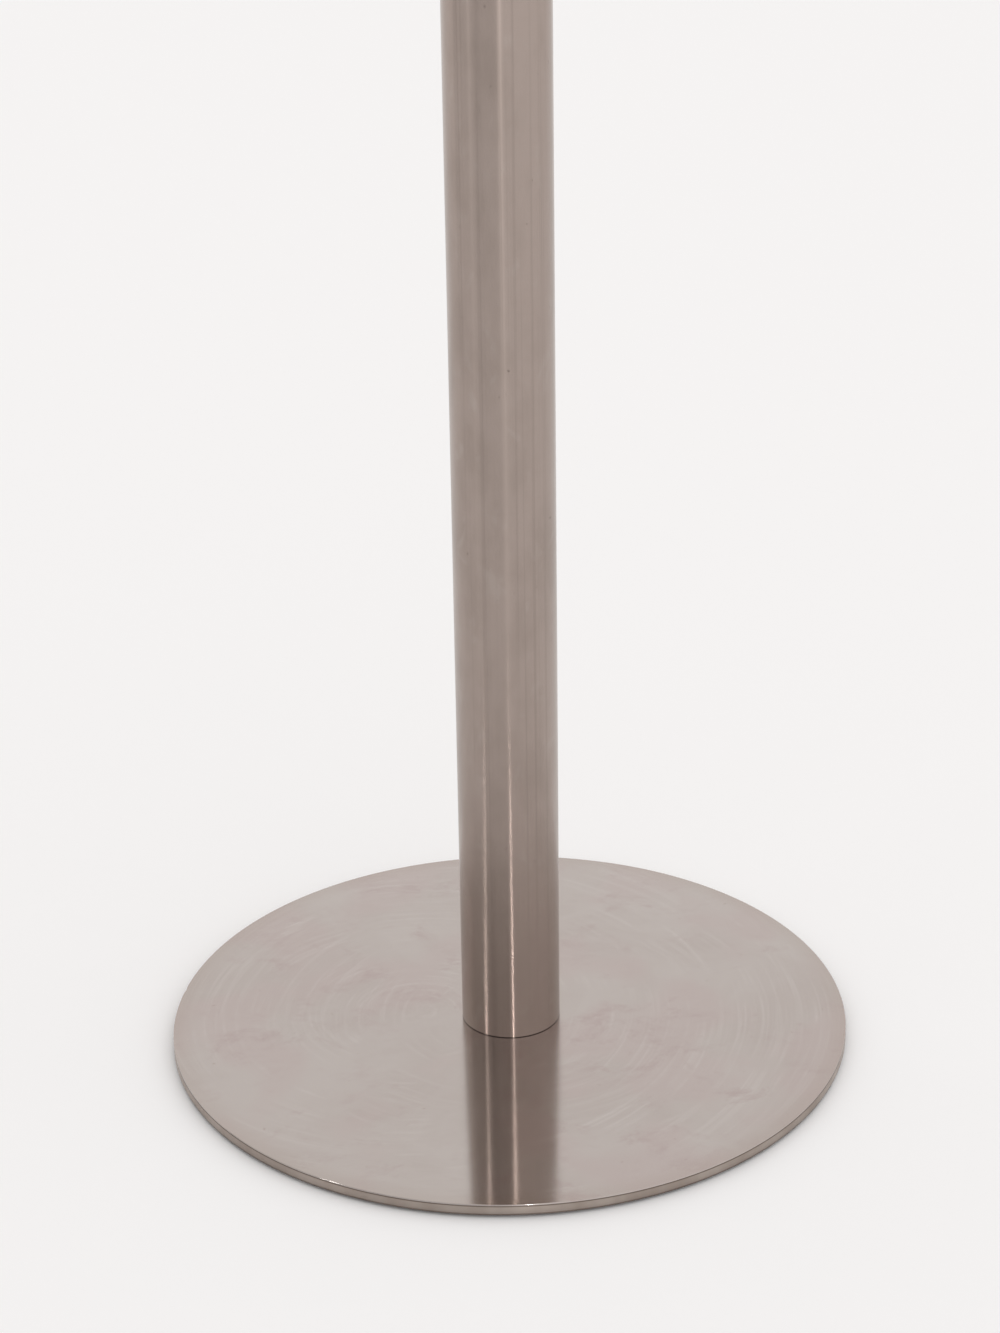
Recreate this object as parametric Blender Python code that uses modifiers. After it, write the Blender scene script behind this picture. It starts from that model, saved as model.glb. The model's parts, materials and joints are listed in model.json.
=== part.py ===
"""Rope barrier stanchion: a brushed tube on a polished round plate, with a swivelling rope ring and a
screw-off cap.

Metres, +Z up. The origin is the centre of the footprint, on the floor. Each piece is turned about the post's
axis and stands at its own height, so every moving piece has its origin on its joint's axis.
"""

import math

import bpy

MM = 0.001

# Driving dimensions.
OVERALL_HEIGHT = 965 * MM
PLATE_RADIUS = 175 * MM
PLATE_THICKNESS = 6 * MM
TUBE_RADIUS = 25.4 * MM
TUBE_WALL = 1.5 * MM
GAP = 0.3 * MM  # kept between pieces that touch on the real object

# The base: a rubber mat, the plate, and three countersunk screws up into the plug in the tube's foot.
MAT_RADIUS = 168 * MM
MAT_HOLE_RADIUS = 34 * MM
MAT_THICKNESS = 1 * MM
PLATE_TOP_ROUND = 1.2 * MM
PLATE_BOTTOM_CHAMFER = 0.6 * MM
SCREW_COUNT = 3
SCREW_CIRCLE_RADIUS = 16 * MM
SCREW_RADIUS = 4 * MM
SCREW_HEAD_RADIUS = 7.25 * MM
SCREW_HEAD_RIM = 0.4 * MM
SCREW_LENGTH = 25 * MM
SOCKET_ACROSS_FLATS = 5 * MM
SOCKET_DEPTH = 2.6 * MM
SCREW_HOLE_RADIUS = 4.5 * MM
COUNTERSINK_RADIUS = 8.4 * MM
SPIGOT_RADIUS = 5 * MM
SPIGOT_LENGTH = 4 * MM
FOOT_PLUG_HEIGHT = 24 * MM
TUBE_END_CHAMFER = 0.3 * MM

# The head: a flanged plug, a spacer that the rope ring turns on, and the cap on its stud.
HEAD_PLUG_DEPTH = 26 * MM
FLANGE_THICKNESS = 4 * MM
FLANGE_CHAMFER = 0.6 * MM
WASHER_THICKNESS = 0.8 * MM
WASHER_RADIUS = 24.6 * MM
SPACER_RADIUS = 15 * MM
BUSH_WALL = 1.7 * MM
HUB_RADIUS = 26 * MM
HUB_HEIGHT = 10 * MM
HUB_ROUND = 1.5 * MM
RIM_RADIUS = 41 * MM
RIM_WIRE_RADIUS = 4 * MM
SPOKE_COUNT = 4
SPOKE_WIDTH = 8 * MM
SPOKE_HEIGHT = 6 * MM
SPOKE_ROUND = 1.5 * MM
CAP_RADIUS = 26 * MM
CAP_HEIGHT = 16 * MM
CAP_ROUND = 2.5 * MM
CAP_CROWN = 0.8 * MM
CAP_FLAT_RADIUS = 12 * MM
CAP_CHAMFER = 0.8 * MM
GROOVE_HEIGHTS = (5 * MM, 8.5 * MM)
GROOVE_WIDTH = 1.2 * MM
GROOVE_DEPTH = 0.6 * MM
STUD_RADIUS = 6 * MM
STUD_PITCH = 1.75 * MM
STUD_TURNS = 12  # turns of thread held by the head plug, and so the turns that free the cap
STUD_IN_CAP = 12 * MM
STUD_CHAMFER = 0.8 * MM
NUT_HEIGHT = 6 * MM
NUT_ACROSS_FLATS = 19 * MM
NUT_POCKET_RADIUS = 11.4 * MM

# Heights of the pieces' lower faces, from the floor up.
PLATE_Z = MAT_THICKNESS + GAP
TUBE_Z = PLATE_Z + PLATE_THICKNESS + GAP
SCREW_Z = PLATE_Z + GAP
SPACER_HEIGHT = 2 * WASHER_THICKNESS + HUB_HEIGHT + 3.4 * GAP
TUBE_TOP_Z = OVERALL_HEIGHT - CAP_HEIGHT - SPACER_HEIGHT - FLANGE_THICKNESS - 3 * GAP
TUBE_LENGTH = TUBE_TOP_Z - TUBE_Z
FLANGE_TOP_Z = TUBE_TOP_Z + GAP + FLANGE_THICKNESS
SPACER_Z = FLANGE_TOP_Z + GAP
HUB_Z = SPACER_Z + WASHER_THICKNESS + GAP
UPPER_WASHER_Z = HUB_Z + HUB_HEIGHT + GAP
CAP_Z = OVERALL_HEIGHT - CAP_HEIGHT
STUD_LENGTH = STUD_IN_CAP + CAP_Z - FLANGE_TOP_Z + STUD_TURNS * STUD_PITCH

# Fineness of the turned shapes.
LARGE_SEGMENTS = 96
SMALL_SEGMENTS = 48
SCREW_SEGMENTS = 24
RIM_WIRE_SEGMENTS = 12
ROUND_STEPS = 3
SMOOTH_ANGLE = math.radians(31)
MERGE_DISTANCE = 0.00001
CUTTER_EXTRA = 2 * MM  # how far a cutter runs past the face that it opens


def clear_scene():
    for old in list(bpy.data.objects):
        bpy.data.objects.remove(old)


def new_collection(name):
    collection = bpy.data.collections.new(name)
    bpy.context.scene.collection.children.link(collection)
    return collection


def make_material(name, colour, roughness, metallic):
    material = bpy.data.materials.new(name)
    material.use_nodes = True
    shader = material.node_tree.nodes["Principled BSDF"]
    shader.inputs["Base Color"].default_value = (*colour, 1)
    shader.inputs["Roughness"].default_value = roughness
    shader.inputs["Metallic"].default_value = metallic
    return material


clear_scene()
PARTS = new_collection("rope_barrier_stanchion")
CUTTERS = new_collection("cutters")
POLISHED = make_material("polished_stainless", (0.70, 0.66, 0.63), 0.08, 1)
BRUSHED = make_material("brushed_stainless", (0.62, 0.57, 0.53), 0.28, 1)
STEEL = make_material("turned_steel", (0.50, 0.49, 0.48), 0.40, 1)
RUBBER = make_material("black_rubber", (0.03, 0.03, 0.03), 0.85, 0)
NYLON = make_material("grey_nylon", (0.16, 0.16, 0.16), 0.50, 0)


def finish_piece(piece, material):
    piece.data.materials.append(material)
    return piece


def move_to_collection(piece, collection):
    for current in list(piece.users_collection):
        current.objects.unlink(piece)
    collection.objects.link(piece)


def as_helper(piece):
    """Makes a piece a cutter, or a shape to be joined to another: it isn't a part itself."""
    move_to_collection(piece, CUTTERS)
    piece.hide_render = True
    piece.display_type = "WIRE"
    return piece


def turned(name, outline, segments, z=0.0):
    """A body turned about Z, standing at height z. The outline of (radius, height) points runs down its outer
    side. One that starts on the axis also ends on it, and any other is closed into a ring."""
    mesh = bpy.data.meshes.new(name)
    edges = [(i, i + 1) for i in range(len(outline) - 1)]
    if outline[0][0] > 0:
        edges.append((len(outline) - 1, 0))
    mesh.from_pydata([(radius, 0, height) for radius, height in outline], edges, [])
    piece = bpy.data.objects.new(name, mesh)
    piece.location = (0, 0, z)
    PARTS.objects.link(piece)
    screw = piece.modifiers.new("Turn", "SCREW")
    screw.steps = segments
    screw.render_steps = segments
    screw.use_merge_vertices = True
    screw.merge_threshold = MERGE_DISTANCE
    return piece


def boolean(piece, other, operation):
    modifier = piece.modifiers.new(f"{operation.title()} {other.name}", "BOOLEAN")
    modifier.operation = operation
    modifier.object = other
    return piece


def ring_outline(inner, outer, height, chamfer=0.0):
    """The outline of a plain ring, with both outer edges chamfered if asked."""
    if chamfer == 0:
        return [(inner, height), (outer, height), (outer, 0), (inner, 0)]
    return [
        (inner, height),
        (outer - chamfer, height),
        (outer, height - chamfer),
        (outer, chamfer),
        (outer - chamfer, 0),
        (inner, 0),
    ]


def top_round(outer, height, radius):
    """Points of a quarter circle that rounds an upper outer edge, from the top face down to the side."""
    points = []
    for i in range(ROUND_STEPS + 1):
        angle = math.pi / 2 * i / ROUND_STEPS
        points.append((outer - radius * (1 - math.sin(angle)), height - radius * (1 - math.cos(angle))))
    return points


def bottom_round(outer, radius):
    """The same for a lower outer edge at height 0, from the side down to the bottom face."""
    return [(r, radius - h) for r, h in reversed(top_round(outer, radius, radius))]


def screw_places():
    """Centres of the base screws on their circle."""
    for i in range(SCREW_COUNT):
        angle = math.pi / 2 + 2 * math.pi * i / SCREW_COUNT
        yield i + 1, SCREW_CIRCLE_RADIUS * math.cos(angle), SCREW_CIRCLE_RADIUS * math.sin(angle)


def hexagon_cutter(name, across_flats, depth, location):
    """A hexagonal prism centred on location, for a socket."""
    corner_radius = across_flats / 2 / math.cos(math.pi / 6)
    bpy.ops.mesh.primitive_cylinder_add(vertices=6, radius=corner_radius, depth=depth, location=location)
    cutter = bpy.context.object
    cutter.name = name
    return as_helper(cutter)


def make_floor_mat():
    outline = ring_outline(MAT_HOLE_RADIUS, MAT_RADIUS, MAT_THICKNESS)
    return finish_piece(turned("floor_mat", outline, LARGE_SEGMENTS), RUBBER)


def make_base_plate():
    """The plate, rounded at its top edge, with a hole for the plug's spigot and countersunk screw holes."""
    hole_radius = SPIGOT_RADIUS + GAP
    outline = [(hole_radius, PLATE_THICKNESS)]
    outline += top_round(PLATE_RADIUS, PLATE_THICKNESS, PLATE_TOP_ROUND)
    outline += [
        (PLATE_RADIUS, PLATE_BOTTOM_CHAMFER),
        (PLATE_RADIUS - PLATE_BOTTOM_CHAMFER, 0),
        (hole_radius, 0),
    ]
    plate = turned("base_plate", outline, LARGE_SEGMENTS, PLATE_Z)
    cone_depth = COUNTERSINK_RADIUS - SCREW_HOLE_RADIUS
    hole_outline = [
        (0, PLATE_THICKNESS + CUTTER_EXTRA),
        (SCREW_HOLE_RADIUS, PLATE_THICKNESS + CUTTER_EXTRA),
        (SCREW_HOLE_RADIUS, cone_depth),
        (COUNTERSINK_RADIUS + CUTTER_EXTRA, -CUTTER_EXTRA),
        (0, -CUTTER_EXTRA),
    ]
    for number, x, y in screw_places():
        cutter = as_helper(turned(f"plate_hole_{number}", hole_outline, SCREW_SEGMENTS, PLATE_Z))
        cutter.location.x = x
        cutter.location.y = y
        boolean(plate, cutter, "DIFFERENCE")
    return finish_piece(plate, POLISHED)


def make_base_screws():
    """Countersunk socket screws, driven from below."""
    cone_top = SCREW_HEAD_RIM + SCREW_HEAD_RADIUS - SCREW_RADIUS
    outline = [
        (0, SCREW_LENGTH),
        (SCREW_RADIUS - STUD_CHAMFER, SCREW_LENGTH),
        (SCREW_RADIUS, SCREW_LENGTH - STUD_CHAMFER),
        (SCREW_RADIUS, cone_top),
        (SCREW_HEAD_RADIUS, SCREW_HEAD_RIM),
        (SCREW_HEAD_RADIUS, 0),
        (0, 0),
    ]
    for number, x, y in screw_places():
        piece = turned(f"base_screw_{number}", outline, SCREW_SEGMENTS, SCREW_Z)
        piece.location.x = x
        piece.location.y = y
        socket_centre = (x, y, SCREW_Z + SOCKET_DEPTH / 2 - CUTTER_EXTRA / 2)
        socket = hexagon_cutter(
            f"screw_socket_{number}", SOCKET_ACROSS_FLATS, SOCKET_DEPTH + CUTTER_EXTRA, socket_centre
        )
        finish_piece(boolean(piece, socket, "DIFFERENCE"), STEEL)


def make_foot_plug():
    """The plug in the tube's foot: its spigot centres it in the plate, and the screws pull on its threads."""
    plug_radius = TUBE_RADIUS - TUBE_WALL - GAP
    outline = [
        (0, FOOT_PLUG_HEIGHT),
        (plug_radius - FLANGE_CHAMFER, FOOT_PLUG_HEIGHT),
        (plug_radius, FOOT_PLUG_HEIGHT - FLANGE_CHAMFER),
        (plug_radius, 0),
        (SPIGOT_RADIUS, 0),
        (SPIGOT_RADIUS, -SPIGOT_LENGTH),
        (0, -SPIGOT_LENGTH),
    ]
    plug = turned("foot_plug", outline, SMALL_SEGMENTS, TUBE_Z)
    thread_outline = [
        (0, FOOT_PLUG_HEIGHT + CUTTER_EXTRA),
        (SCREW_RADIUS + GAP, FOOT_PLUG_HEIGHT + CUTTER_EXTRA),
        (SCREW_RADIUS + GAP, -CUTTER_EXTRA),
        (0, -CUTTER_EXTRA),
    ]
    for number, x, y in screw_places():
        cutter = as_helper(turned(f"plug_thread_{number}", thread_outline, SCREW_SEGMENTS, TUBE_Z))
        cutter.location.x = x
        cutter.location.y = y
        boolean(plug, cutter, "DIFFERENCE")
    return finish_piece(plug, STEEL)


def make_post_tube():
    inner = TUBE_RADIUS - TUBE_WALL
    outline = ring_outline(inner, TUBE_RADIUS, TUBE_LENGTH, TUBE_END_CHAMFER)
    return finish_piece(turned("post_tube", outline, SMALL_SEGMENTS, TUBE_Z), BRUSHED)


def make_head_plug():
    """The plug in the tube's top. Its flange closes the tube and carries the rope ring."""
    plug_radius = TUBE_RADIUS - TUBE_WALL - GAP
    bore = STUD_RADIUS + GAP
    flange_z = HEAD_PLUG_DEPTH + GAP
    top = flange_z + FLANGE_THICKNESS
    outline = [
        (bore, top),
        (TUBE_RADIUS - FLANGE_CHAMFER, top),
        (TUBE_RADIUS, top - FLANGE_CHAMFER),
        (TUBE_RADIUS, flange_z),
        (plug_radius, flange_z),
        (plug_radius, FLANGE_CHAMFER),
        (plug_radius - FLANGE_CHAMFER, 0),
        (bore, 0),
    ]
    return finish_piece(turned("head_plug", outline, SMALL_SEGMENTS, FLANGE_TOP_Z - top), POLISHED)


def make_washers():
    """Nylon washers under and over the rope ring's hub, which let it turn."""
    outline = ring_outline(SPACER_RADIUS + GAP, WASHER_RADIUS, WASHER_THICKNESS)
    for name, z in (("lower_washer", SPACER_Z), ("upper_washer", UPPER_WASHER_Z)):
        finish_piece(turned(name, outline, SMALL_SEGMENTS, z), NYLON)


def make_neck_spacer():
    """The cap clamps down on this sleeve, a little taller than the hub and washers, so the ring stays free."""
    outline = ring_outline(STUD_RADIUS + GAP, SPACER_RADIUS, SPACER_HEIGHT)
    return finish_piece(turned("neck_spacer", outline, SMALL_SEGMENTS, SPACER_Z), STEEL)


def make_ring_bush():
    inner = SPACER_RADIUS + GAP
    outline = ring_outline(inner, inner + BUSH_WALL, HUB_HEIGHT - 2 * GAP)
    return finish_piece(turned("ring_bush", outline, SMALL_SEGMENTS, HUB_Z + GAP), NYLON)


def make_rope_ring():
    """The rope ring: a hub, four spokes and a round rim that the ropes' hooks close on."""
    bore = SPACER_RADIUS + GAP + BUSH_WALL + GAP
    outline = [(bore, HUB_HEIGHT)]
    outline += top_round(HUB_RADIUS, HUB_HEIGHT, HUB_ROUND)
    outline += bottom_round(HUB_RADIUS, HUB_ROUND)
    outline += [(bore, 0)]
    ring = turned("rope_ring", outline, SMALL_SEGMENTS, HUB_Z)
    middle_z = HUB_Z + HUB_HEIGHT / 2
    spoke_start = (bore + HUB_RADIUS) / 2
    for i in range(SPOKE_COUNT):
        angle = math.pi / SPOKE_COUNT + 2 * math.pi * i / SPOKE_COUNT
        reach = (spoke_start + RIM_RADIUS) / 2
        centre = (reach * math.cos(angle), reach * math.sin(angle), middle_z)
        bpy.ops.mesh.primitive_cube_add(size=1, location=centre, rotation=(0, 0, angle))
        spoke = bpy.context.object
        spoke.name = f"spoke_{i + 1}"
        spoke.scale = (RIM_RADIUS - spoke_start, SPOKE_WIDTH, SPOKE_HEIGHT)
        bpy.ops.object.transform_apply(location=False, rotation=False, scale=True)
        bevel = spoke.modifiers.new("Round", "BEVEL")
        bevel.width = SPOKE_ROUND
        bevel.segments = 2
        boolean(ring, as_helper(spoke), "UNION")
    bpy.ops.mesh.primitive_torus_add(
        major_radius=RIM_RADIUS,
        minor_radius=RIM_WIRE_RADIUS,
        major_segments=SMALL_SEGMENTS,
        minor_segments=RIM_WIRE_SEGMENTS,
        location=(0, 0, middle_z),
    )
    rim = bpy.context.object
    rim.name = "rope_rim"
    boolean(ring, as_helper(rim), "UNION")
    return finish_piece(ring, POLISHED)


def make_cap_stud():
    """The cap's threaded stud. Its lower end holds twelve turns of thread in the head plug."""
    outline = [
        (0, STUD_LENGTH),
        (STUD_RADIUS - STUD_CHAMFER, STUD_LENGTH),
        (STUD_RADIUS, STUD_LENGTH - STUD_CHAMFER),
        (STUD_RADIUS, STUD_CHAMFER),
        (STUD_RADIUS - STUD_CHAMFER, 0),
        (0, 0),
    ]
    stud_z = FLANGE_TOP_Z - STUD_TURNS * STUD_PITCH
    return finish_piece(turned("cap_stud", outline, SCREW_SEGMENTS, stud_z), STEEL)


def make_stud_nut():
    """The thin nut that locks the stud in the cap, in a pocket in the cap's underside."""
    nut_z = CAP_Z + GAP
    corner_radius = NUT_ACROSS_FLATS / 2 / math.cos(math.pi / 6)
    centre = (0, 0, nut_z + NUT_HEIGHT / 2)
    bpy.ops.mesh.primitive_cylinder_add(
        vertices=6, radius=corner_radius, depth=NUT_HEIGHT, location=centre
    )
    nut = bpy.context.object
    nut.name = "stud_nut"
    move_to_collection(nut, PARTS)
    bore = STUD_RADIUS + GAP
    bore_outline = [
        (0, NUT_HEIGHT + CUTTER_EXTRA),
        (bore, NUT_HEIGHT + CUTTER_EXTRA),
        (bore, -CUTTER_EXTRA),
        (0, -CUTTER_EXTRA),
    ]
    cutter = as_helper(turned("nut_bore", bore_outline, SCREW_SEGMENTS, nut_z))
    return finish_piece(boolean(nut, cutter, "DIFFERENCE"), STEEL)


def make_cap():
    """The flat-topped cap, with two grip grooves, a blind hole for the stud and a pocket for its nut."""
    side_top = CAP_HEIGHT - CAP_CROWN
    outline = [(0, CAP_HEIGHT), (CAP_FLAT_RADIUS, CAP_HEIGHT)]
    outline += top_round(CAP_RADIUS, side_top, CAP_ROUND)
    for height in reversed(GROOVE_HEIGHTS):
        outline += [
            (CAP_RADIUS, height + GROOVE_WIDTH / 2),
            (CAP_RADIUS - GROOVE_DEPTH, height),
            (CAP_RADIUS, height - GROOVE_WIDTH / 2),
        ]
    pocket_depth = NUT_HEIGHT + 3 * GAP
    outline += [
        (CAP_RADIUS, CAP_CHAMFER),
        (CAP_RADIUS - CAP_CHAMFER, 0),
        (NUT_POCKET_RADIUS, 0),
        (NUT_POCKET_RADIUS, pocket_depth),
        (STUD_RADIUS + GAP, pocket_depth),
        (STUD_RADIUS + GAP, STUD_IN_CAP + GAP),
        (0, STUD_IN_CAP + GAP),
    ]
    return finish_piece(turned("cap", outline, SMALL_SEGMENTS, CAP_Z), POLISHED)


def shade_parts():
    """Turns each part's modifiers into its mesh, and shades it smooth up to its sharp edges."""
    depsgraph = bpy.context.evaluated_depsgraph_get()
    meshes = []
    for piece in PARTS.objects:
        meshes.append(bpy.data.meshes.new_from_object(piece.evaluated_get(depsgraph)))
    for piece, mesh in zip(PARTS.objects, meshes):
        piece.modifiers.clear()
        piece.data = mesh
        mesh.shade_smooth()
        mesh.set_sharp_from_angle(angle=SMOOTH_ANGLE)


make_floor_mat()
make_base_plate()
make_base_screws()
make_foot_plug()
make_post_tube()
make_head_plug()
make_washers()
make_neck_spacer()
make_ring_bush()
make_rope_ring()
make_cap_stud()
make_stud_nut()
make_cap()
shade_parts()
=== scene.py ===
"""Looks of the rope barrier stanchion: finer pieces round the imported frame, procedural metals, studio."""

import json
import math

import bmesh
import bpy
from mathutils import Matrix, Vector

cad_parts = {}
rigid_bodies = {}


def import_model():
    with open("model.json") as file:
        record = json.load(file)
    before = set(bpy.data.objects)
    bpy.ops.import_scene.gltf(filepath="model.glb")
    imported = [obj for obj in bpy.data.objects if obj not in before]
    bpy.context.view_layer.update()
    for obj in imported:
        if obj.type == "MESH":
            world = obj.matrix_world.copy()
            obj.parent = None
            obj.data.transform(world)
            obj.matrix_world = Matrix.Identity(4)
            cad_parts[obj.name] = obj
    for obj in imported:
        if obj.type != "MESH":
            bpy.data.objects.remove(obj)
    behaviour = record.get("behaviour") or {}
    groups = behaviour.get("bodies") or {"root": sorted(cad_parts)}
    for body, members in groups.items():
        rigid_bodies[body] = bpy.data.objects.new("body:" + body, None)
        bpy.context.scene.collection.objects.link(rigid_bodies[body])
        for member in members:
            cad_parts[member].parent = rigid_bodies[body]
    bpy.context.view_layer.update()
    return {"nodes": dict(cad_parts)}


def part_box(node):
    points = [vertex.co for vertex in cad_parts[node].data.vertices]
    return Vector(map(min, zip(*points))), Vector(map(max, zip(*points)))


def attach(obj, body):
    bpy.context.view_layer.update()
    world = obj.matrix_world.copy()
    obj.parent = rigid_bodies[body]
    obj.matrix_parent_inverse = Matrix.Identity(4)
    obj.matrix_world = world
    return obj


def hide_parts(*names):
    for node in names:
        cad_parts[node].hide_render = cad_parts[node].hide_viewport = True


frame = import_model()

MM = 0.001
PLATE_LOW, PLATE_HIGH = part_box("base_plate")
PLATE_TOP = PLATE_HIGH.z
PLATE_RADIUS = PLATE_HIGH.x
TUBE_LOW, TUBE_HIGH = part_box("post_tube")
TUBE_RADIUS = TUBE_HIGH.x
TUBE_WALL = 1.5 * MM
CLEARANCE = 0.3 * MM  # what the solids keep between pieces that touch
SMOOTH_ANGLE = math.radians(31)


# ---------------------------------------------------------------- node helpers


class Nodes:
    """A material's node tree, with short calls that make a node, set its inputs and return its output."""

    def __init__(self, name):
        self.material = bpy.data.materials.new(name)
        self.material.use_nodes = True
        self.tree = self.material.node_tree
        self.shader = self.tree.nodes["Principled BSDF"]

    def node(self, kind, **settings):
        made = self.tree.nodes.new("ShaderNode" + kind)
        for key, value in settings.items():
            setattr(made, key, value)
        return made

    def put(self, socket, value):
        if isinstance(value, bpy.types.NodeSocket):
            self.tree.links.new(value, socket)
        else:
            socket.default_value = value

    def set(self, **inputs):
        """Sets the Principled shader's inputs; a keyword's underscores stand for spaces."""
        for key, value in inputs.items():
            self.put(self.shader.inputs[key.replace("_", " ")], value)

    def math(self, operation, a, b=0.0, c=0.0, clamp=False):
        made = self.node("Math", operation=operation, use_clamp=clamp)
        for socket, value in zip(made.inputs, (a, b, c)):
            self.put(socket, value)
        return made.outputs[0]

    def place(self):
        """The point in the row frame, which a CAD node and a new piece share."""
        return self.node("TexCoord").outputs["Object"]

    def split(self, vector):
        made = self.node("SeparateXYZ")
        self.put(made.inputs[0], vector)
        return made.outputs[0], made.outputs[1], made.outputs[2]

    def join(self, x, y, z):
        made = self.node("CombineXYZ")
        for socket, value in zip(made.inputs, (x, y, z)):
            self.put(socket, value)
        return made.outputs[0]

    def length(self, x, y):
        """The length of the flat vector (x, y)."""
        return self.math("SQRT", self.math("ADD", self.math("MULTIPLY", x, x), self.math("MULTIPLY", y, y)))

    def scaled(self, vector, scale):
        made = self.node("VectorMath", operation="MULTIPLY")
        self.put(made.inputs[0], vector)
        self.put(made.inputs[1], scale)
        return made.outputs[0]

    def noise(self, vector, scale, detail=2.0, roughness=0.5, distortion=0.0):
        made = self.node("TexNoise")
        for key, value in (
            ("Vector", vector),
            ("Scale", scale),
            ("Detail", detail),
            ("Roughness", roughness),
            ("Distortion", distortion),
        ):
            self.put(made.inputs[key], value)
        return made.outputs["Fac"]

    def remap(self, value, from_low, from_high, to_low, to_high, smooth=False):
        made = self.node("MapRange")
        made.interpolation_type = "SMOOTHSTEP" if smooth else "LINEAR"
        for socket, number in zip(made.inputs, (value, from_low, from_high, to_low, to_high)):
            self.put(socket, number)
        return made.outputs[0]

    def mix_colour(self, factor, a, b, blend="MIX"):
        made = self.node("Mix", data_type="RGBA", blend_type=blend)
        self.put(made.inputs["Factor"], factor)
        self.put(made.inputs[6], a)
        self.put(made.inputs[7], b)
        return made.outputs[2]

    def bump(self, height, distance, strength):
        made = self.node("Bump")
        self.put(made.inputs["Strength"], strength)
        self.put(made.inputs["Distance"], distance)
        self.put(made.inputs["Height"], height)
        return made.outputs[0]

    def around_z(self):
        """The tangent that runs round the post's axis."""
        made = self.node("Tangent")
        made.direction_type = "RADIAL"
        made.axis = "Z"
        return made.outputs[0]


# ---------------------------------------------------------------- materials

STAINLESS_TUBE = (0.392, 0.324, 0.290, 1)
STAINLESS_TUBE_DULL = (0.352, 0.290, 0.257, 1)
STAINLESS_PLATE = (0.474, 0.446, 0.430, 1)
STAINLESS_PLATE_DULL = (0.446, 0.412, 0.395, 1)
EDGE_BAND = (0.36, 0.30, 0.262, 1)
EDGE_BAND_PALE = (0.43, 0.37, 0.33, 1)
# dark specks on the tube; on the plate's cut edge, painted dark reflection and painted shade
SPECK_AND_PAINTED_EDGE_DARK = (0.115, 0.085, 0.07, 1)
SMUDGE_PALE = (0.42, 0.36, 0.325, 1)
DRAWN_LINE = (0.285, 0.232, 0.205, 1)
SCRATCH = (0.27, 0.215, 0.19, 1)
# painted shade for the tube's foot, where it meets the plate
JOINT_SHADE_PAINT = (0.05, 0.036, 0.03, 1)
PLATE_WARM = (0.462, 0.407, 0.397, 1)
PLATE_ARC = (0.53, 0.51, 0.495, 1)
PLATE_SMEAR = (0.418, 0.358, 0.35, 1)
HEAD_LIGHT = (0.50, 0.445, 0.41, 1)
HEAD_DULL = (0.46, 0.405, 0.37, 1)
STEEL_LIGHT = (0.42, 0.40, 0.38, 1)
STEEL_DULL = (0.33, 0.31, 0.295, 1)
RUBBER = (0.022, 0.021, 0.02, 1)
RUBBER_DUSTY = (0.075, 0.07, 0.064, 1)
NYLON_DARK = (0.13, 0.13, 0.13, 1)
NYLON_PALE = (0.19, 0.188, 0.184, 1)
AROUND = 0.25  # turns the anisotropy so that grooves run round the axis
LEFT_ARCS_CENTRE = (-0.048, 0.004)


def arc_marks(n, centre, frequency, seed):
    """Arcs round a centre, as a polishing mop leaves them: noise that changes fast outwards, slowly round."""
    x, y, _ = n.split(n.place())
    dx = n.math("SUBTRACT", x, centre[0])
    dy = n.math("SUBTRACT", y, centre[1])
    radius = n.length(dx, dy)
    safe = n.math("MAXIMUM", radius, 0.001)
    across = n.math("DIVIDE", dx, safe)
    along = n.math("DIVIDE", dy, safe)
    outwards = n.math("MULTIPLY_ADD", radius, frequency, seed)
    return n.noise(n.join(across, along, outwards), 1.0, 3.0, 0.6, 0.1)


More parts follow.
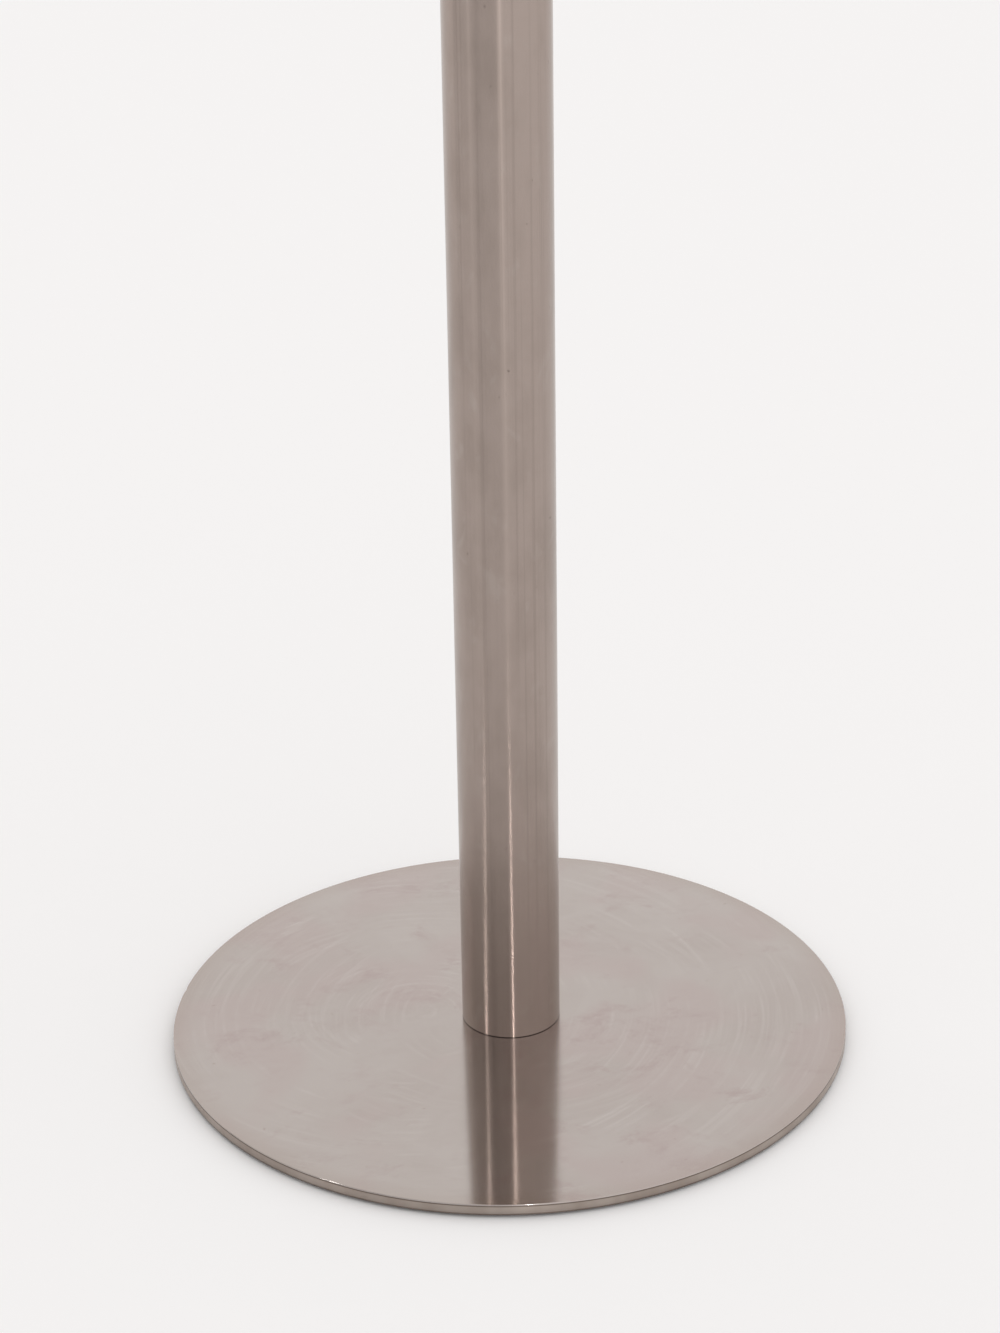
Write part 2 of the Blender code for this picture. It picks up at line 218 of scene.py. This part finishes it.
def brushed_tube_material():
    """Satin stainless tube: fine brushing, soft mottling, lengthways lines, pale smudges, short scratches."""
    n = Nodes("tube_brushed_stainless")
    x, y, z = n.split(n.place())
    around = n.join(n.math("MULTIPLY", x, 40.0), n.math("MULTIPLY", y, 40.0), n.math("MULTIPLY", z, 1600.0))
    fine = n.noise(around, 1.0, 3.0, 0.6)
    mottle = n.noise(n.scaled(n.place(), (1.0, 1.0, 0.5)), 42.0, 3.0, 0.6)
    smudge = n.noise(n.scaled(n.place(), (1.0, 1.0, 0.7)), 85.0, 4.0, 0.62, 0.6)
    pale = n.remap(smudge, 0.56, 0.74, 0.0, 0.6, True)
    dull = n.remap(mottle, 0.4, 0.68, 0.0, 1.0, True)
    base = n.mix_colour(dull, STAINLESS_TUBE, STAINLESS_TUBE_DULL)
    base = n.mix_colour(n.remap(fine, 0.3, 0.7, 0.0, 0.3), base, STAINLESS_TUBE_DULL)
    base = n.mix_colour(pale, base, SMUDGE_PALE)
    # lengthways lines from drawing the tube: they change fast round it and hardly at all along it
    drawn = n.noise(n.scaled(n.place(), (520.0, 520.0, 1.2)), 1.0, 3.0, 0.65)
    base = n.mix_colour(n.remap(drawn, 0.52, 0.72, 0.0, 0.5, True), base, DRAWN_LINE)
    speck = n.noise(n.place(), 420.0, 1.0, 0.5)
    base = n.mix_colour(n.remap(speck, 0.775, 0.80, 0.0, 0.5, True), base, SPECK_AND_PAINTED_EDGE_DARK)
    slanted = n.join(n.math("MULTIPLY_ADD", z, 40.0, n.math("MULTIPLY", x, 900.0)), y, 0.0)
    scratch = n.remap(n.noise(slanted, 1.0, 2.0, 0.5), 0.66, 0.74, 0.0, 1.0, True)
    scratched = n.math("MULTIPLY", scratch, n.remap(smudge, 0.5, 0.6, 0.0, 0.4, True))
    base = n.mix_colour(scratched, base, SCRATCH)
    # painted shade where the tube meets the plate, darkest at the tube's lowest edge
    painted_joint_shade = n.remap(z, PLATE_TOP + 0.25 * MM, PLATE_TOP + 0.55 * MM, 0.85, 0.0, True)
    base = n.mix_colour(painted_joint_shade, base, JOINT_SHADE_PAINT)
    rough = n.remap(mottle, 0.4, 0.7, 0.235, 0.255, True)
    n.set(
        Base_Color=base,
        Metallic=1.0,
        Roughness=rough,
        Anisotropic=1.0,
        Anisotropic_Rotation=AROUND,
        Tangent=n.around_z(),
        Normal=n.bump(mottle, 0.0001, 0.015),
    )
    return n.material


def polished_plate_material():
    """Polished stainless plate: mop arcs, haze, smudges, and a cut edge with a painted dark reflection as a
    line under its lip and painted shade at its lower corner.
    """
    n = Nodes("plate_polished_stainless")
    place = n.place()
    x, y, z = n.split(place)
    radius = n.length(x, y)
    cloud = n.noise(place, 11.0, 4.0, 0.6, 0.8)
    patch = n.noise(place, 24.0, 3.0, 0.55, 0.3)
    left_arcs = arc_marks(n, LEFT_ARCS_CENTRE, 300.0, 3.0)
    wide_arcs = arc_marks(n, (0.0, 0.0), 260.0, 11.0)
    left_reach = n.remap(patch, 0.42, 0.62, 0.0, 1.0, True)
    wide_reach = n.remap(cloud, 0.45, 0.62, 0.0, 1.0, True)
    arcs = n.math(
        "ADD",
        n.math("MULTIPLY", n.remap(left_arcs, 0.44, 0.78, 0.0, 1.0, True), left_reach),
        n.math("MULTIPLY", n.remap(wide_arcs, 0.44, 0.80, 0.0, 1.0, True), wide_reach),
    )
    base = n.mix_colour(n.remap(cloud, 0.35, 0.66, 0.0, 1.0, True), STAINLESS_PLATE, STAINLESS_PLATE_DULL)
    warm = n.remap(n.noise(place, 17.0, 2.0, 0.5), 0.45, 0.62, 0.0, 0.6, True)
    base = n.mix_colour(warm, base, PLATE_WARM)
    base = n.mix_colour(n.math("MULTIPLY", arcs, 0.42), base, PLATE_ARC)
    speck = n.noise(place, 260.0, 2.0, 0.5)
    base = n.mix_colour(n.remap(speck, 0.72, 0.77, 0.0, 0.35, True), base, EDGE_BAND)
    smear = n.noise(n.scaled(place, (1.0, 1.3, 1.0)), 34.0, 6.0, 0.72, 0.35)
    smear_reach = n.remap(patch, 0.4, 0.6, 0.35, 1.0, True)
    smear = n.math("MULTIPLY", n.remap(smear, 0.5, 0.72, 0.0, 0.8, True), smear_reach)
    base = n.mix_colour(smear, base, PLATE_SMEAR)
    rim_shade = n.remap(radius, PLATE_RADIUS - 14 * MM, PLATE_RADIUS, 0.0, 0.22, True)
    base = n.mix_colour(rim_shade, base, EDGE_BAND)
    # the cut edge: a satin band, a line of painted dark reflection under the lip, and painted shade at the
    # lower corner
    below = n.math("SUBTRACT", PLATE_TOP, z)
    wander = n.noise(n.scaled(place, (1.0, 1.0, 0.0)), 60.0, 2.0, 0.5)
    band_tone = n.mix_colour(n.remap(wander, 0.35, 0.65, 0.0, 1.0), EDGE_BAND, EDGE_BAND_PALE)
    side = n.remap(below, 0.45 * MM, 0.6 * MM, 0.0, 1.0)
    line = n.math("MULTIPLY", side, n.remap(below, 0.95 * MM, 1.35 * MM, 1.0, 0.0))
    corner = n.remap(below, 4.6 * MM, 5.2 * MM, 0.0, 1.0)
    base = n.mix_colour(side, base, band_tone)
    # painted: a dark reflection in the line under the lip, and shade at the lower corner
    dark = n.math("MAXIMUM", n.math("MULTIPLY", line, 0.8), n.math("MULTIPLY", corner, 0.7))
    base = n.mix_colour(dark, base, SPECK_AND_PAINTED_EDGE_DARK)
    top_rough = n.math("ADD", n.remap(cloud, 0.35, 0.66, 0.115, 0.14, True), n.math("MULTIPLY", arcs, 0.015))
    rough = n.math("ADD", top_rough, n.math("MULTIPLY", side, 0.2))
    n.set(
        Base_Color=base,
        Metallic=1.0,
        Roughness=rough,
        Anisotropic=1.0,
        Anisotropic_Rotation=AROUND,
        Tangent=n.around_z(),
        Normal=n.bump(arcs, 0.00002, 0.05),
    )
    return n.material


def turned_metal_material(name, light, dull, roughness, mark_depth, anisotropic):
    """Machined or polished steel with turning marks round the post's axis and faint stains."""
    n = Nodes(name)
    x, y, z = n.split(n.place())
    radius = n.length(x, y)
    marks = n.noise(n.join(radius, n.math("MULTIPLY", z, 1.3), 0.0), 3800.0, 2.0, 0.6)
    stain = n.noise(n.place(), 70.0, 3.0, 0.6)
    base = n.mix_colour(n.remap(stain, 0.4, 0.66, 0.0, 1.0, True), light, dull)
    base = n.mix_colour(n.remap(marks, 0.3, 0.7, 0.0, 0.3), base, dull)
    marked = n.remap(marks, 0.3, 0.7, roughness, roughness * 1.25)
    rough = n.math("ADD", marked, n.remap(stain, 0.4, 0.7, 0.0, 0.03))
    n.set(
        Base_Color=base,
        Metallic=1.0,
        Roughness=rough,
        Anisotropic=anisotropic,
        Anisotropic_Rotation=AROUND,
        Tangent=n.around_z(),
        Normal=n.bump(marks, mark_depth, 0.4),
    )
    return n.material


def rubber_material():
    """Black moulded rubber with a fine pebbled grain and pale dust in its hollows."""
    n = Nodes("mat_black_rubber")
    grain = n.node("TexVoronoi", feature="SMOOTH_F1")
    n.put(grain.inputs["Vector"], n.place())
    n.put(grain.inputs["Scale"], 900.0)
    dust = n.noise(n.place(), 35.0, 4.0, 0.65)
    base = n.mix_colour(n.remap(dust, 0.42, 0.72, 0.0, 0.6, True), RUBBER, RUBBER_DUSTY)
    n.set(
        Base_Color=base,
        Roughness=n.remap(dust, 0.35, 0.7, 0.68, 0.9),
        Normal=n.bump(grain.outputs["Distance"], 0.0002, 0.6),
    )
    return n.material


def nylon_material():
    """Grey nylon with faint flow marks and a slight sheen where it rubs."""
    n = Nodes("washer_grey_nylon")
    flow = n.noise(n.scaled(n.place(), (1.0, 1.0, 3.0)), 120.0, 3.0, 0.6, 0.8)
    base = n.mix_colour(n.remap(flow, 0.35, 0.65, 0.0, 1.0), NYLON_DARK, NYLON_PALE)
    n.set(Base_Color=base, Roughness=n.remap(flow, 0.35, 0.65, 0.38, 0.55), Normal=n.bump(flow, 0.00005, 0.3))
    return n.material


# ---------------------------------------------------------------- shapes


def finish_mesh(shape, name, body, slot, material, *nodes):
    """Makes a piece from a bmesh. It rides on its body and stands for its CAD nodes."""
    bmesh.ops.recalc_face_normals(shape, faces=shape.faces)
    mesh = bpy.data.meshes.new(name)
    shape.to_mesh(mesh)
    shape.free()
    mesh.materials.append(material)
    mesh.shade_smooth()
    mesh.set_sharp_from_angle(angle=SMOOTH_ANGLE)
    piece = bpy.data.objects.new(name, mesh)
    bpy.context.scene.collection.objects.link(piece)
    if body:
        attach(piece, body)
        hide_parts(*nodes)
    return piece


def spun(outline, segments):
    """A bmesh turned about Z from an outline of (radius, height) points: a ring, or closed on the axis."""
    shape = bmesh.new()
    points = [shape.verts.new((radius, 0, height)) for radius, height in outline]
    pairs = list(zip(points, points[1:]))
    if outline[0][0] > 0:
        pairs.append((points[-1], points[0]))
    edges = [shape.edges.new(pair) for pair in pairs]
    bmesh.ops.spin(
        shape,
        geom=points + edges,
        cent=(0, 0, 0),
        axis=(0, 0, 1),
        angle=math.tau,
        steps=segments,
        use_merge=True,
    )
    bmesh.ops.remove_doubles(shape, verts=shape.verts, dist=1e-6)
    return shape


def rounded(points, radius, steps=5):
    """The same closed outline with its corners rounded by up to that radius; its points are off the axis."""
    result = []
    count = len(points)
    for i, point in enumerate(points):
        here = Vector(point)
        before = Vector(points[i - 1]) - here
        after = Vector(points[(i + 1) % count]) - here
        reach = min(radius, before.length * 0.45, after.length * 0.45)
        start = here + before.normalized() * reach
        end = here + after.normalized() * reach
        for k in range(steps + 1):
            t = k / steps
            result.append(tuple(start * (1 - t) ** 2 + here * 2 * t * (1 - t) + end * t * t))
    return result


def ring_piece(name, node, inner, corner, body, slot, material, segments=160):
    """A plain ring as high and wide as its CAD node, with softly rounded corners."""
    low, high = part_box(node)
    outline = rounded([(inner, high.z), (high.x, high.z), (high.x, low.z), (inner, low.z)], corner)
    return finish_mesh(spun(outline, segments), name, body, slot, material, node)


def cut(piece, cutters):
    """Cuts the cutters out of the piece, and removes them."""
    for cutter in cutters:
        modifier = piece.modifiers.new("Cut", "BOOLEAN")
        modifier.object = cutter
        modifier.operation = "DIFFERENCE"
    bake(piece)
    for cutter in cutters:
        bpy.data.objects.remove(cutter)


def bake(piece):
    """Turns the piece's modifiers into its mesh, smooth up to its sharp edges."""
    depsgraph = bpy.context.evaluated_depsgraph_get()
    mesh = bpy.data.meshes.new_from_object(piece.evaluated_get(depsgraph))
    piece.modifiers.clear()
    piece.data = mesh
    mesh.shade_smooth()
    mesh.set_sharp_from_angle(angle=SMOOTH_ANGLE)


PLATE_SEGMENTS = 512
PLATE_LIP = 0.5 * MM
NICK_ANGLE = math.radians(170)
NICK_DEPTH = 0.5 * MM


def make_plate(material):
    """The plate: a small round lip, a fine lower chamfer, a nick in its left edge and its screws' holes."""
    top, bottom = PLATE_TOP, PLATE_LOW.z
    hole = 5 * MM + CLEARANCE
    outline = [(hole, top)]
    for i in range(7):
        angle = math.pi / 2 * i / 6
        out = PLATE_RADIUS - PLATE_LIP * (1 - math.sin(angle))
        outline.append((out, top - PLATE_LIP * (1 - math.cos(angle))))
    outline += [
        (PLATE_RADIUS, top - 2.5 * MM),
        (PLATE_RADIUS, bottom + 0.7 * MM),
        (PLATE_RADIUS - 0.25 * MM, bottom + 0.2 * MM),
        (PLATE_RADIUS - 0.7 * MM, bottom),
        (hole, bottom),
    ]
    shape = spun(outline, PLATE_SEGMENTS)
    nick = Vector((math.cos(NICK_ANGLE), math.sin(NICK_ANGLE), 0))
    for vertex in shape.verts:
        flat = Vector((vertex.co.x, vertex.co.y, 0))
        if flat.length > PLATE_RADIUS - 1 * MM and vertex.co.z > top - 3 * MM:
            off = (flat - nick * flat.length).length
            vertex.co -= flat.normalized() * NICK_DEPTH * max(0.0, 1 - off / (3 * MM))
    plate = finish_mesh(shape, "plate_polished", "post", "polished_stainless", material, "base_plate")
    cutters = []
    for number in (1, 2, 3):
        low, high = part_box(f"base_screw_{number}")
        centre = (low + high) / 2
        outline = [(0, top + 2 * MM), (4.5 * MM, top + 2 * MM), (4.5 * MM, bottom + 3.9 * MM)]
        outline += [(10.4 * MM, bottom - 2 * MM), (0, bottom - 2 * MM)]
        cutter = finish_mesh(spun(outline, 64), f"countersink_{number}", None, None, material)
        cutter.location = (centre.x, centre.y, 0)
        cutters.append(cutter)
    bpy.context.view_layer.update()
    cut(plate, cutters)
    return plate


def make_tube(material):
    """The tube, with broken edges at both ends. It stands on the plate with only a hairline between them."""
    bottom = PLATE_TOP + 0.05 * MM
    inner = TUBE_RADIUS - TUBE_WALL
    corners = [(inner, TUBE_HIGH.z), (TUBE_RADIUS, TUBE_HIGH.z), (TUBE_RADIUS, bottom), (inner, bottom)]
    outline = rounded(corners, 0.25 * MM, 3)
    return finish_mesh(spun(outline, 256), "tube_brushed", "post", "brushed_stainless", material, "post_tube")


def make_mat(material):
    """The rubber mat: rounded edges and fine ribs underneath that stop it slipping."""
    _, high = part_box("floor_mat")
    inner = 34 * MM
    outline = [(inner, high.z), (high.x - 0.3 * MM, high.z), (high.x, high.z - 0.4 * MM), (high.x, 0.4 * MM)]
    outline += [(high.x - 0.4 * MM, 0)]
    rib = 6 * MM
    edge = high.x - 4 * MM
    while edge - rib > inner + 2 * MM:
        outline += [(edge, 0), (edge - 0.6 * MM, 0.6 * MM), (edge - 1.8 * MM, 0.6 * MM), (edge - 2.4 * MM, 0)]
        edge -= rib
    outline += [(inner, 0)]
    return finish_mesh(spun(outline, 192), "mat_rubber", "post", "black_rubber", material, "floor_mat")


def make_head_plug(material):
    """The flanged head plug with its bore."""
    low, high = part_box("head_plug")
    bore = 6 * MM + CLEARANCE
    inside = TUBE_RADIUS - TUBE_WALL - CLEARANCE
    flange = TUBE_HIGH.z + CLEARANCE
    corners = [(bore, high.z), (TUBE_RADIUS, high.z), (TUBE_RADIUS, flange)]
    corners += [(inside, flange), (inside, low.z), (bore, low.z)]
    shape = spun(rounded(corners, 0.6 * MM), 192)
    return finish_mesh(shape, "plug_flanged", "post", "polished_stainless", material, "head_plug")


CAP_GROOVES = (8.5 * MM, 5 * MM)


def make_cap(material):
    """The cap: a slight crown, a soft shoulder, two grip grooves, and below a nut pocket and a blind hole."""
    low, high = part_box("cap")
    base, radius = low.z, high.x
    outline = [(0, high.z), (12 * MM, high.z - 0.02 * MM)]
    for i in range(1, 6):
        t = i / 6
        outline.append((12 * MM + t * 11 * MM, high.z - 0.02 * MM - 0.68 * MM * t * t))
    shoulder = 2.5 * MM
    for i in range(9):
        angle = math.pi / 2 * (0.12 + 0.88 * i / 8)
        out = radius - shoulder * (1 - math.sin(angle))
        outline.append((out, high.z - 0.8 * MM - shoulder * (1 - math.cos(angle))))
    for height in CAP_GROOVES:
        for k in range(7):
            angle = math.pi * k / 6
            outline.append((radius - 0.55 * MM * math.sin(angle), base + height + 0.6 * MM * math.cos(angle)))
    outline += [(radius, base + 0.8 * MM), (radius - 0.25 * MM, base + 0.25 * MM), (radius - 0.8 * MM, base)]
    outline += [(11.4 * MM, base), (11.4 * MM, base + 6.9 * MM), (6.3 * MM, base + 6.9 * MM)]
    outline += [(6.3 * MM, base + 12.3 * MM), (0, base + 12.3 * MM)]
    return finish_mesh(spun(outline, 192), "cap_polished", "cap", "polished_stainless", material, "cap")


STUD_PITCH = 1.75 * MM
THREAD_DEPTH = 1.0 * MM


def make_stud(material):
    """The cap's stud with its helical thread, cut as a radius that depends on the turn and the height."""
    low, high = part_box("cap_stud")
    radius = high.x
    steps_round = 64
    rows = int((high.z - low.z) / STUD_PITCH * 10)
    shape = bmesh.new()
    grid = []
    for row in range(rows + 1):
        z = low.z + (high.z - low.z) * row / rows
        end = min(z - low.z, high.z - z)
        line = []
        for k in range(steps_round):
            angle = math.tau * k / steps_round
            phase = (z / STUD_PITCH - k / steps_round) % 1.0
            tooth = min(1.0, abs(phase - 0.5) * 2.6)
            reach = min(radius - THREAD_DEPTH * tooth, radius - 1.1 * MM + end)
            line.append(shape.verts.new((reach * math.cos(angle), reach * math.sin(angle), z)))
        grid.append(line)
    for lower, upper in zip(grid, grid[1:]):
        for k in range(steps_round):
            after = (k + 1) % steps_round
            shape.faces.new((lower[k], lower[after], upper[after], upper[k]))
    shape.faces.new(list(reversed(grid[0])))
    shape.faces.new(grid[-1])
    return finish_mesh(shape, "stud_threaded", "cap_stud", "turned_steel", material, "cap_stud")


RING_HUB = 26 * MM
RING_RIM = 41 * MM
RING_WIRE = 4 * MM
SPOKE_HALF_WIDTH = 4 * MM


def slot_cutter(index, middle_z):
    """A slot of the rope ring: the space from hub to rim and spoke to spoke, with rounded corners."""
    inner, outer = RING_HUB, RING_RIM - 0.2 * MM
    shape = bmesh.new()
    low_z, high_z = middle_z - 6 * MM, middle_z + 6 * MM
    plan = []
    for radius, forward in ((outer, True), (inner, False)):
        half = math.pi / 4 - math.asin(SPOKE_HALF_WIDTH / radius)
        angles = [half * (2 * k / 14 - 1) for k in range(15)]
        for angle in angles if forward else reversed(angles):
            turned = angle + index * math.pi / 2
            plan.append((radius * math.cos(turned), radius * math.sin(turned)))
    low = [shape.verts.new((x, y, low_z)) for x, y in plan]
    high = [shape.verts.new((x, y, high_z)) for x, y in plan]
    corners = []
    for k in range(len(plan)):
        after = (k + 1) % len(plan)
        shape.faces.new((low[k], low[after], high[after], high[k]))
        if k in (0, 14, 15, 29):
            corners.append(shape.edges.get((low[k], high[k])))
    shape.faces.new(list(reversed(low)))
    shape.faces.new(high)
    bmesh.ops.bevel(shape, geom=corners, offset=2.2 * MM, segments=6, profile=0.5, affect="EDGES")
    return finish_mesh(shape, f"slot_{index}", None, None, None)


def make_rope_ring(material):
    """The rope ring: a turned hub and web with four slots, and a round wire rim that the hooks run on."""
    low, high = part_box("rope_ring")
    middle_z = (low.z + high.z) / 2
    bore = 17.3 * MM
    web = 3 * MM
    hub = rounded([(bore, high.z), (RING_HUB, high.z), (RING_HUB, low.z), (bore, low.z)], 1.5 * MM, 6)
    web_corners = [(bore + 4 * MM, middle_z + web), (RING_RIM, middle_z + web), (RING_RIM, middle_z - web)]
    web_corners += [(bore + 4 * MM, middle_z - web)]
    piece = finish_mesh(spun(web_corners, 192), "ring_polished", None, None, material)
    cut(piece, [slot_cutter(i, middle_z) for i in range(4)])
    bevel = piece.modifiers.new("Soften", "BEVEL")
    bevel.width = 1.1 * MM
    bevel.segments = 4
    bevel.limit_method = "ANGLE"
    bevel.angle_limit = math.radians(50)
    bake(piece)
    wire = []
    for k in range(32):
        angle = -math.tau * k / 32
        wire.append((RING_RIM + RING_WIRE * math.cos(angle), middle_z + RING_WIRE * math.sin(angle)))
    others = [
        finish_mesh(spun(hub, 192), "ring_hub", None, None, material),
        finish_mesh(spun(wire, 192), "ring_wire", None, None, material),
    ]
    for other in others:
        modifier = piece.modifiers.new("Join", "BOOLEAN")
        modifier.object = other
        modifier.operation = "UNION"
    bake(piece)
    for other in others:
        bpy.data.objects.remove(other)
    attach(piece, "rope_ring")
    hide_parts("rope_ring")
    return piece


# ---------------------------------------------------------------- stage

# The room's brightness round the horizon: azimuth in degrees from the front, positive to the right.
ROOM = (
    (-180, 0.76),
    (-112, 0.74),
    (-100, 0.62),
    (-98.5, 0.05),
    (-95.5, 0.05),
    (-94, 0.42),
    (-67, 0.44),
    (-64, 0.24),
    (-61, 0.44),
    (-45, 0.40),
    (-43.5, 0.10),
    (-40.5, 0.10),
    (-39, 0.38),
    (-4, 0.42),
    (2, 0.95),
    (85, 0.95),
    (125, 0.78),
    (180, 0.76),
)
UPPER_ROOM = (0.775, 0.737, 0.711, 1)
BACKDROP = (0.9, 0.89, 0.88, 1)
ROOM_STRENGTH = 1.3
WARM_TINT = (1.02, 0.97, 0.935)  # of the room behind the post
LAMP_DISTANCE = 2.4
LAMP_ELEVATION = 42.0
# name, size in metres, azimuth in degrees, radiance
LAMPS = (("key_lamp", 0.07, 5.6, 260.0), ("side_lamp", 0.2, -66.0, 24.0))
FLOOR_RADIUS = 12.0
FLOOR_COLOUR = (0.94, 0.96, 0.98, 1)
# The lamps light the object only, so that they leave the pale floor even.
LIT = bpy.data.collections.new("lit_by_lamps")


def polar(distance, azimuth, elevation):
    """A point seen from the plate's centre: azimuth in degrees from the front, positive to the right."""
    a, e = math.radians(azimuth), math.radians(elevation)
    side = distance * math.cos(e)
    return Vector((side * math.sin(a), -side * math.cos(a), PLATE_TOP + distance * math.sin(e)))


def make_lamp(name, size, azimuth, radiance):
    """A small square lamp that faces the plate, as bright per area as asked."""
    data = bpy.data.lights.new(name, "AREA")
    data.shape = "SQUARE"
    data.size = size
    data.energy = radiance * math.pi * size * size
    lamp = bpy.data.objects.new(name, data)
    bpy.context.scene.collection.objects.link(lamp)
    lamp.location = polar(LAMP_DISTANCE, azimuth, LAMP_ELEVATION)
    towards = Vector((0, 0, PLATE_TOP)) - lamp.location
    lamp.rotation_euler = towards.to_track_quat("-Z", "Y").to_euler()
    lamp.light_linking.receiver_collection = LIT


def make_floor():
    """A plain pale floor."""
    shape = bmesh.new()
    bmesh.ops.create_circle(shape, cap_ends=True, segments=96, radius=FLOOR_RADIUS)
    n = Nodes("pale_floor")
    n.set(Base_Color=FLOOR_COLOUR, Roughness=0.9, Specular_IOR_Level=0.1)
    floor = finish_mesh(shape, "studio_floor", None, None, n.material)
    floor.location.z = -0.1 * MM  # just clear of the mat's underside


def make_world():
    """A soft room, darker at its front left, with three dark bands; the camera sees a plain backdrop."""
    world = bpy.data.worlds.new("studio")
    world.use_nodes = True
    tree = world.node_tree
    direction = tree.nodes.new("ShaderNodeTexCoord").outputs["Generated"]
    split = tree.nodes.new("ShaderNodeSeparateXYZ")
    tree.links.new(direction, split.inputs[0])
    back = tree.nodes.new("ShaderNodeMath")
    back.operation = "MULTIPLY"
    back.inputs[1].default_value = -1
    tree.links.new(split.outputs[1], back.inputs[0])
    azimuth = tree.nodes.new("ShaderNodeMath")
    azimuth.operation = "ARCTAN2"
    tree.links.new(split.outputs[0], azimuth.inputs[0])
    tree.links.new(back.outputs[0], azimuth.inputs[1])
    share = tree.nodes.new("ShaderNodeMapRange")
    share.inputs["From Min"].default_value = -math.pi
    share.inputs["From Max"].default_value = math.pi
    tree.links.new(azimuth.outputs[0], share.inputs["Value"])
    ramp = tree.nodes.new("ShaderNodeValToRGB")
    stops = ramp.color_ramp.elements
    while len(stops) > 1:
        stops.remove(stops[-1])
    for i, (degrees, level) in enumerate(ROOM):
        stop = stops[0] if i == 0 else stops.new((degrees + 180) / 360)
        stop.position = (degrees + 180) / 360
        tint = WARM_TINT if abs(degrees) > 90 else (1, 1, 1)
        stop.color = (level * tint[0], level * tint[1], level * tint[2], 1)
    tree.links.new(share.outputs[0], ramp.inputs[0])
    background = tree.nodes["Background"]
    rise = tree.nodes.new("ShaderNodeMapRange")
    for name, value in (("From Min", 0.12), ("From Max", 0.4), ("To Max", 0.6)):
        rise.inputs[name].default_value = value
    tree.links.new(split.outputs[2], rise.inputs["Value"])
    upper = tree.nodes.new("ShaderNodeMix")
    upper.data_type = "RGBA"
    tree.links.new(rise.outputs[0], upper.inputs["Factor"])
    tree.links.new(ramp.outputs[0], upper.inputs[6])
    upper.inputs[7].default_value = UPPER_ROOM
    tree.links.new(upper.outputs[2], background.inputs["Color"])
    background.inputs["Strength"].default_value = ROOM_STRENGTH
    # the camera sees a plain pale backdrop past the floor's edge; the bands only light the object
    backdrop = tree.nodes.new("ShaderNodeBackground")
    backdrop.inputs["Color"].default_value = BACKDROP
    seen = tree.nodes.new("ShaderNodeMixShader")
    tree.links.new(tree.nodes.new("ShaderNodeLightPath").outputs["Is Camera Ray"], seen.inputs["Fac"])
    tree.links.new(background.outputs[0], seen.inputs[1])
    tree.links.new(backdrop.outputs[0], seen.inputs[2])
    tree.links.new(seen.outputs[0], tree.nodes["World Output"].inputs["Surface"])
    bpy.context.scene.world = world


def make_lights():
    """The key lamp, nearly in front, and a weaker one at the left."""
    for lamp in LAMPS:
        make_lamp(*lamp)


CAMERA_DISTANCE = 1.326
CAMERA_HEIGHT = 0.792
CAMERA_YAW = math.radians(2.869)
CAMERA_PITCH = math.radians(24.122)
CAMERA_ROLL = math.radians(0.344)


def make_camera():
    """The photograph's viewpoint: in front of the post, looking down on the plate."""
    data = bpy.data.cameras.new("camera")
    data.sensor_width = 36.0
    data.lens = 79.02
    data.shift_x = -0.105
    camera = bpy.data.objects.new("camera", data)
    bpy.context.scene.collection.objects.link(camera)
    turn = Matrix.Rotation(-CAMERA_YAW, 4, "Z")
    tilt = Matrix.Rotation(math.pi / 2 - CAMERA_PITCH, 4, "X")
    roll = Matrix.Rotation(CAMERA_ROLL, 4, "Z")
    place = Matrix.Translation((0, -CAMERA_DISTANCE, PLATE_TOP + CAMERA_HEIGHT))
    camera.matrix_world = place @ turn @ tilt @ roll
    bpy.context.scene.camera = camera


def paint(node, material):
    """Gives a CAD node that stays shown its material, smooth up to its sharp edges."""
    mesh = frame["nodes"][node].data
    mesh.materials.clear()
    mesh.materials.append(material)
    mesh.shade_smooth()
    mesh.set_sharp_from_angle(angle=SMOOTH_ANGLE)


# ---------------------------------------------------------------- the object

make_world()
make_floor()
make_lights()
make_camera()

polished = turned_metal_material("head_polished_stainless", HEAD_LIGHT, HEAD_DULL, 0.13, 0.00001, 0.8)
steel = turned_metal_material("machined_steel", STEEL_LIGHT, STEEL_DULL, 0.3, 0.00004, 0.5)
nylon = nylon_material()
make_plate(polished_plate_material())
make_tube(brushed_tube_material())
make_mat(rubber_material())
make_head_plug(polished)
make_rope_ring(polished)
make_cap(polished)
make_stud(steel)
for washer in ("lower_washer", "upper_washer"):
    ring_piece(f"{washer}_nylon", washer, 15.3 * MM, 0.25 * MM, "post", "grey_nylon", nylon)
ring_piece("bush_nylon", "ring_bush", 15.3 * MM, 0.3 * MM, "rope_ring", "grey_nylon", nylon)
ring_piece("spacer_steel", "neck_spacer", 6.3 * MM, 0.4 * MM, "post", "turned_steel", steel)
for node in ("base_screw_1", "base_screw_2", "base_screw_3", "foot_plug", "stud_nut"):
    paint(node, steel)
for piece in bpy.context.scene.objects:
    if piece.type == "MESH" and piece.name != "studio_floor":
        LIT.objects.link(piece)
bpy.context.scene.view_settings.view_transform = "Standard"
